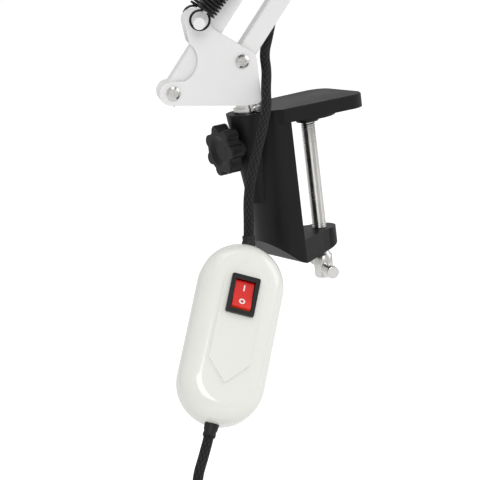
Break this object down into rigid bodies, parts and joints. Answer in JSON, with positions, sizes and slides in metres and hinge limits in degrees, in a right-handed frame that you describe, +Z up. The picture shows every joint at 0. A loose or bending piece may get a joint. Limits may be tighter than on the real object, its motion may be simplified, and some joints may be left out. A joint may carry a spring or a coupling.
{
  "type": "swing arm desk lamp",
  "caption": "Desk lamp on a screw clamp with twin-tube spring arms, a round tilting head and an in-line rocker switch pod.",
  "frame": {"origin": "underside of the clamp's upper jaw, on the clamp screw's axis", "axes": "+Z up along the clamp screw, +X along the upper jaw towards its tip, +Y to the left of the jaw"},
  "size_m": [0.4356, 0.2427, 0.8889],
  "materials": {
    "black_casting": "satin black powder coat",
    "black_plastic": "satin moulded",
    "bright_zinc": "bright zinc plate",
    "brass_pins": "nickelled brass",
    "white_paint": "gloss white paint",
    "white_nylon": "natural nylon",
    "black_spring": "black oxide wire",
    "aluminium": "satin",
    "reflector_white": "gloss",
    "board_green": "solder mask",
    "frosted": "frosted",
    "pod_plastic": "glossy off-white",
    "red_rocker": "translucent red",
    "cord_black": "braided sleeve"
  },
  "bodies": {
    "clamp": {"clamp_body": "black_casting", "pod_front": "pod_plastic", "pod_back": "pod_plastic", "switch_body": "black_plastic", "driver_board": "board_green", "pod_screws": "bright_zinc", "cord_upper": "cord_black", "cord_lower": "cord_black", "cord_coil": "cord_black", "coil_tie": "cord_black", "cord_tail": "cord_black", "plug_body": "black_plastic", "plug_pins": "brass_pins"},
    "lock": {"lock_knob": "black_plastic", "lock_stud": "bright_zinc"},
    "pad": {"pressure_pad": "black_plastic"},
    "screw": {"clamp_screw": "bright_zinc"},
    "bar": {"tommy_bar": "bright_zinc"},
    "base": {"spindle": "bright_zinc", "base_bracket": "white_paint", "base_pivot_screws": "bright_zinc", "base_pivot_nuts": "bright_zinc", "base_washers": "white_nylon", "base_hook_pins": "white_paint", "lower_springs": "black_spring"},
    "lower_front": {"lower_front_tube": "white_paint", "lower_anchor_pin": "white_paint"},
    "lower_rear": {"lower_rear_tube": "white_paint"},
    "elbow": {"elbow_plates": "white_paint", "elbow_screws": "bright_zinc", "elbow_nuts": "bright_zinc", "elbow_washers": "white_nylon", "elbow_hook_pins": "white_paint", "upper_springs": "black_spring"},
    "upper_front": {"upper_front_tube": "white_paint", "upper_anchor_pin": "white_paint"},
    "upper_rear": {"upper_rear_tube": "white_paint"},
    "head_bracket": {"head_plates": "white_paint", "head_screws": "bright_zinc", "head_nuts": "bright_zinc", "head_washers": "white_nylon", "pan_block": "white_paint"},
    "knuckle": {"knuckle": "white_paint", "pan_nut": "bright_zinc", "tilt_bolt": "bright_zinc"},
    "head": {"head_neck": "white_paint", "shade": "white_paint", "heat_sink": "aluminium", "led_board": "board_green", "reflector": "reflector_white", "diffuser": "frosted"},
    "tilt_knob": {"tilt_knob": "black_plastic"},
    "rocker": {"rocker": "red_rocker"}
  },
  "joints": [
    {"name": "lock_turn", "type": "hinge", "parent": "clamp", "child": "lock", "pos_m": [-0.05, 0, -0.0107], "axis": [-1, 0, 0], "range_deg": [0, 360]},
    {"name": "pad_travel", "type": "slide", "parent": "clamp", "child": "pad", "axis": [0, 0, 1], "range_m": [-0.055, 0]},
    {"name": "screw_turn", "type": "hinge", "parent": "pad", "child": "screw", "pos_m": [0, 0, -0.06], "axis": [0, 0, 1], "range_deg": [-15840, 0]},
    {"name": "bar_slide", "type": "slide", "parent": "screw", "child": "bar", "axis": [-0.342, -0.9397, 0], "range_m": [-0.011, 0.011]},
    {"name": "arm_swivel", "type": "hinge", "parent": "clamp", "child": "base", "pos_m": [-0.0373, 0, 0.0068], "axis": [0, 0, 1], "range_deg": [-150, 150], "deforming": ["cord_upper"]},
    {"name": "lower_lift", "type": "hinge", "parent": "base", "child": "lower_front", "pos_m": [-0.07247, 0.01566, 0.0231], "axis": [-0.4067, -0.9135, 0], "range_deg": [-12, 55], "deforming": ["lower_springs"]},
    {"name": "lower_link", "type": "hinge", "parent": "base", "child": "lower_rear", "pos_m": [-0.03785, 0.00024, 0.0348], "axis": [-0.4067, -0.9135, 0], "range_deg": [-12, 55], "deforming": ["cord_upper"]},
    {"name": "elbow_level", "type": "hinge", "parent": "lower_rear", "child": "elbow", "pos_m": [0.18529, -0.0991, 0.3259], "axis": [-0.4067, -0.9135, 0], "range_deg": [-55, 12]},
    {"name": "upper_lift", "type": "hinge", "parent": "elbow", "child": "upper_front", "pos_m": [0.15789, -0.0869, 0.3439], "axis": [-0.4067, -0.9135, 0], "range_deg": [-30, 30], "deforming": ["upper_springs"]},
    {"name": "upper_link", "type": "hinge", "parent": "elbow", "child": "upper_rear", "pos_m": [0.1694, -0.09203, 0.3619], "axis": [-0.4067, -0.9135, 0], "range_deg": [-30, 30]},
    {"name": "head_level", "type": "hinge", "parent": "upper_rear", "child": "head_bracket", "pos_m": [-0.11211, 0.03331, 0.50559], "axis": [-0.4067, -0.9135, 0], "range_deg": [-30, 30]},
    {"name": "head_pan", "type": "hinge", "parent": "head_bracket", "child": "knuckle", "pos_m": [-0.16381, 0.05633, 0.47559], "axis": [0, 0, 1], "range_deg": [-150, 150]},
    {"name": "head_tilt", "type": "hinge", "parent": "knuckle", "child": "head", "pos_m": [-0.16381, 0.05633, 0.44159], "axis": [0.4067, 0.9135, 0], "range_deg": [-45, 45]},
    {"name": "tilt_knob_turn", "type": "hinge", "parent": "knuckle", "child": "tilt_knob", "pos_m": [-0.16381, 0.05633, 0.44159], "axis": [-0.4067, -0.9135, 0], "range_deg": [0, 360]},
    {"name": "rocker_press", "type": "hinge", "parent": "clamp", "child": "rocker", "pos_m": [-0.07761, -0.039, -0.0791], "axis": [0.8151, -0.432, -0.386], "range_deg": [0, 14]}
  ],
  "couplings": [
    {"joint": "screw_turn", "follows": "pad_travel", "rad_per_m": 5026.5},
    {"joint": "lower_link", "follows": "lower_lift", "ratio": 1},
    {"joint": "elbow_level", "follows": "lower_lift", "ratio": -1},
    {"joint": "upper_link", "follows": "upper_lift", "ratio": 1},
    {"joint": "head_level", "follows": "upper_lift", "ratio": -1}
  ]
}
